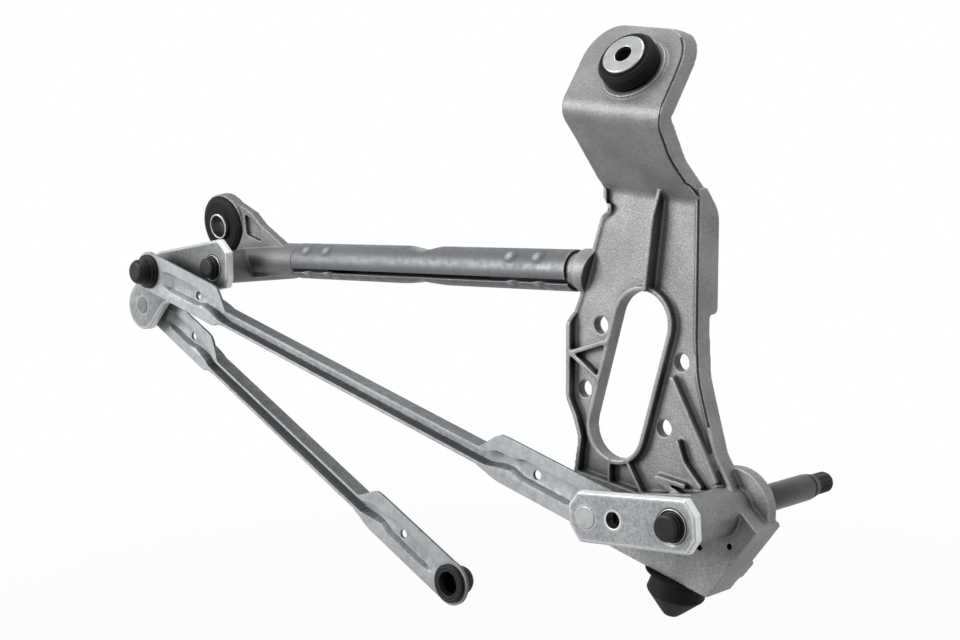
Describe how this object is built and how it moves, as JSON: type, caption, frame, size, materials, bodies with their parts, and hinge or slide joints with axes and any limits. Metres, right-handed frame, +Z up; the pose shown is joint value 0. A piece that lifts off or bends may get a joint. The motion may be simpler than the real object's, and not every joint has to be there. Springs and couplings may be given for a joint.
{
  "type": "wiper linkage",
  "caption": "Windscreen wiper linkage without its motor: cast spindle housings joined by a tube, cranks, pressed rods and ball joints.",
  "frame": {"origin": "on the right spindle's axis where its threaded end begins", "axes": "+X along the linkage from the left spindle to the right one, +Y along the spindles towards the wiper arms, +Z up"},
  "size_m": [0.4503, 0.1537, 0.2859],
  "materials": {
    "cast_aluminium": "sand cast, matte and finely granular",
    "black_rubber": "matte moulded rubber",
    "bush_steel": "turned and zinc plated",
    "sintered_bronze": "porous sintered bronze",
    "bright_tube": "drawn, half bright",
    "black_steel": "black oxide, satin",
    "zinc_steel": "zinc plated, mottled with worn edges",
    "washer_steel": "plain steel",
    "seal_rubber": "smooth rubber",
    "galvanised_sheet": "galvanised pressed sheet",
    "black_plastic": "black moulded plastic, satin",
    "ball_steel": "polished ball, riveted shank"
  },
  "bodies": {
    "frame": {"drive_bracket": "cast_aluminium", "upper_bush_rubber": "black_rubber", "upper_bush_sleeve": "bush_steel", "locating_plug": "black_rubber", "right_front_bearing": "sintered_bronze", "right_rear_bearing": "sintered_bronze", "frame_tube": "bright_tube", "left_housing": "cast_aluminium", "left_bush_rubber": "black_rubber", "left_bush_sleeve": "bush_steel", "left_front_bearing": "sintered_bronze", "left_rear_bearing": "sintered_bronze"},
    "left_shaft": {"left_spindle": "black_steel", "left_crank": "zinc_steel", "left_thrust_washer": "washer_steel", "left_seal_ring": "seal_rubber", "left_retaining_washer": "washer_steel", "left_circlip": "washer_steel", "left_front_ball_stud": "ball_steel", "left_rear_ball_stud": "ball_steel"},
    "right_shaft": {"right_spindle": "black_steel", "right_crank": "zinc_steel", "right_thrust_washer": "washer_steel", "right_seal_ring": "seal_rubber", "right_retaining_washer": "washer_steel", "right_circlip": "washer_steel", "right_ball_stud": "ball_steel"},
    "long_rod": {"long_rod": "galvanised_sheet", "long_rod_left_socket": "black_plastic", "long_rod_right_socket": "black_plastic"},
    "short_rod": {"short_rod": "galvanised_sheet", "short_rod_left_socket": "black_plastic", "short_rod_free_socket": "black_plastic"}
  },
  "joints": [
    {"name": "left_spindle_turn", "type": "hinge", "parent": "frame", "child": "left_shaft", "pos_m": [-0.345, 0, 0.0905], "axis": [0, -1, 0], "range_deg": [-8, 92]},
    {"name": "right_spindle_turn", "type": "hinge", "parent": "frame", "child": "right_shaft", "pos_m": [0, 0, 0], "axis": [0, -1, 0], "range_deg": [-8, 92]},
    {"name": "long_rod_swing", "type": "hinge", "parent": "left_shaft", "child": "long_rod", "pos_m": [-0.391, -0.1022, 0.087], "axis": [0, -1, 0], "range_deg": [-92, 8]},
    {"name": "short_rod_swing", "type": "hinge", "parent": "left_shaft", "child": "short_rod", "pos_m": [-0.4163, -0.0748, 0.0644], "axis": [0, -1, 0], "range_deg": [-92, 8]}
  ],
  "couplings": [
    {"joint": "right_spindle_turn", "follows": "left_spindle_turn", "ratio": 1},
    {"joint": "long_rod_swing", "follows": "left_spindle_turn", "ratio": -1},
    {"joint": "short_rod_swing", "follows": "left_spindle_turn", "ratio": -1}
  ]
}
